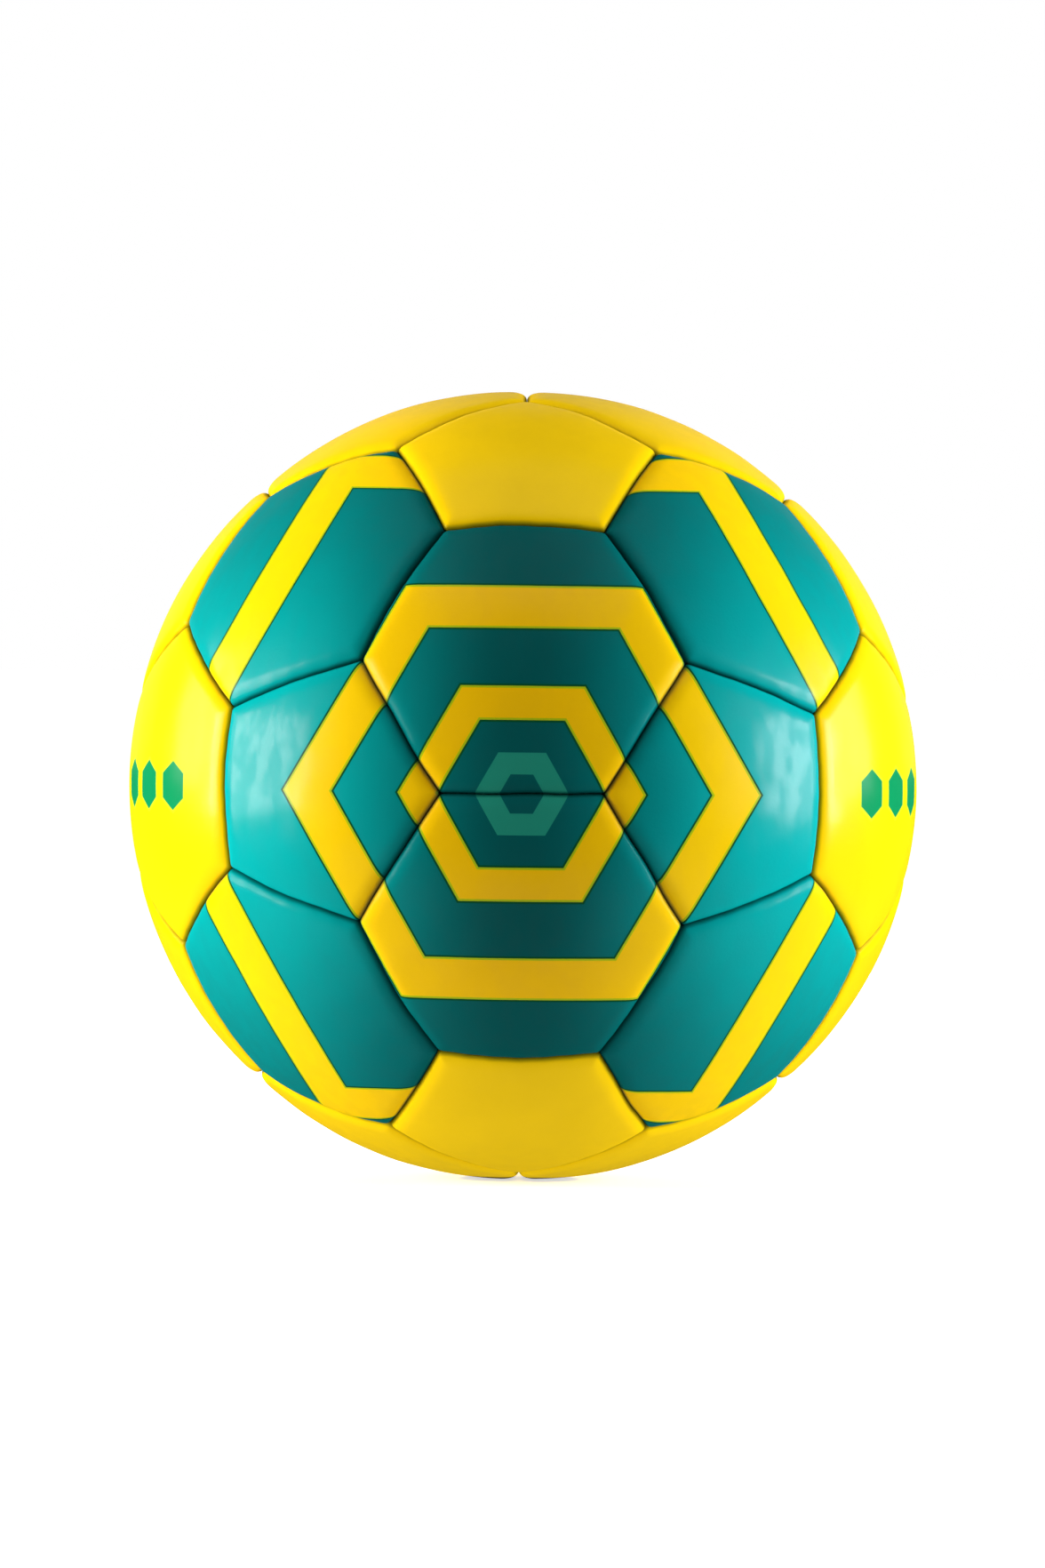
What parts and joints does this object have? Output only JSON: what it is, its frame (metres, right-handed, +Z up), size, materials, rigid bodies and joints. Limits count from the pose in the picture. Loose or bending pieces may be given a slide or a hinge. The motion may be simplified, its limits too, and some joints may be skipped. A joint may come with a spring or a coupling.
{
  "type": "handball",
  "caption": "Hand-stitched ball of pentagon and hexagon leather panels over foam and lining cloth, sewn round a rubber bladder with a needle valve.",
  "frame": {"origin": "centre of the ball", "axes": "+Z up and +X right as the ball is seen along +Y; the seam in the middle of its front lies across -Y, along X"},
  "size_m": [0.187, 0.187, 0.187],
  "materials": {
    "teal_skin": "semi-gloss grained synthetic leather with a yellow print",
    "yellow_skin": "semi-gloss grained synthetic leather",
    "foam": "closed-cell foam",
    "lining_cloth": "woven cotton and polyester cloth",
    "waxed_thread": "waxed twisted polyester",
    "bladder_rubber": "matt moulded rubber",
    "valve_rubber": "satin moulded rubber"
  },
  "bodies": {
    "root": {"teal_pentagon_01": "teal_skin", "teal_pentagon_02": "teal_skin", "teal_pentagon_03": "teal_skin", "teal_pentagon_04": "teal_skin", "yellow_pentagon_01": "yellow_skin", "yellow_pentagon_02": "yellow_skin", "yellow_pentagon_03": "yellow_skin", "yellow_pentagon_04": "yellow_skin", "yellow_pentagon_05": "yellow_skin", "yellow_pentagon_06": "yellow_skin", "yellow_pentagon_07": "yellow_skin", "yellow_pentagon_08": "yellow_skin", "teal_hexagon_01": "teal_skin", "teal_hexagon_02": "teal_skin", "teal_hexagon_03": "teal_skin", "teal_hexagon_04": "teal_skin", "teal_hexagon_05": "teal_skin", "teal_hexagon_06": "teal_skin", "teal_hexagon_07": "teal_skin", "teal_hexagon_08": "teal_skin", "teal_hexagon_09": "teal_skin", "teal_hexagon_10": "teal_skin", "teal_hexagon_11": "teal_skin", "teal_hexagon_12": "teal_skin", "yellow_hexagon_01": "yellow_skin", "yellow_hexagon_02": "yellow_skin", "yellow_hexagon_03": "yellow_skin", "yellow_hexagon_04": "yellow_skin", "yellow_hexagon_05": "yellow_skin", "yellow_hexagon_06": "yellow_skin", "yellow_hexagon_07": "yellow_skin", "yellow_hexagon_08": "yellow_skin", "pentagon_foam_pads": "foam", "hexagon_foam_pads": "foam", "pentagon_linings": "lining_cloth", "hexagon_linings": "lining_cloth", "pentagon_seam_threads": "waxed_thread", "hexagon_seam_threads": "waxed_thread", "bladder": "bladder_rubber", "valve_housing": "valve_rubber", "valve_core": "valve_rubber"}
  },
  "joints": []
}
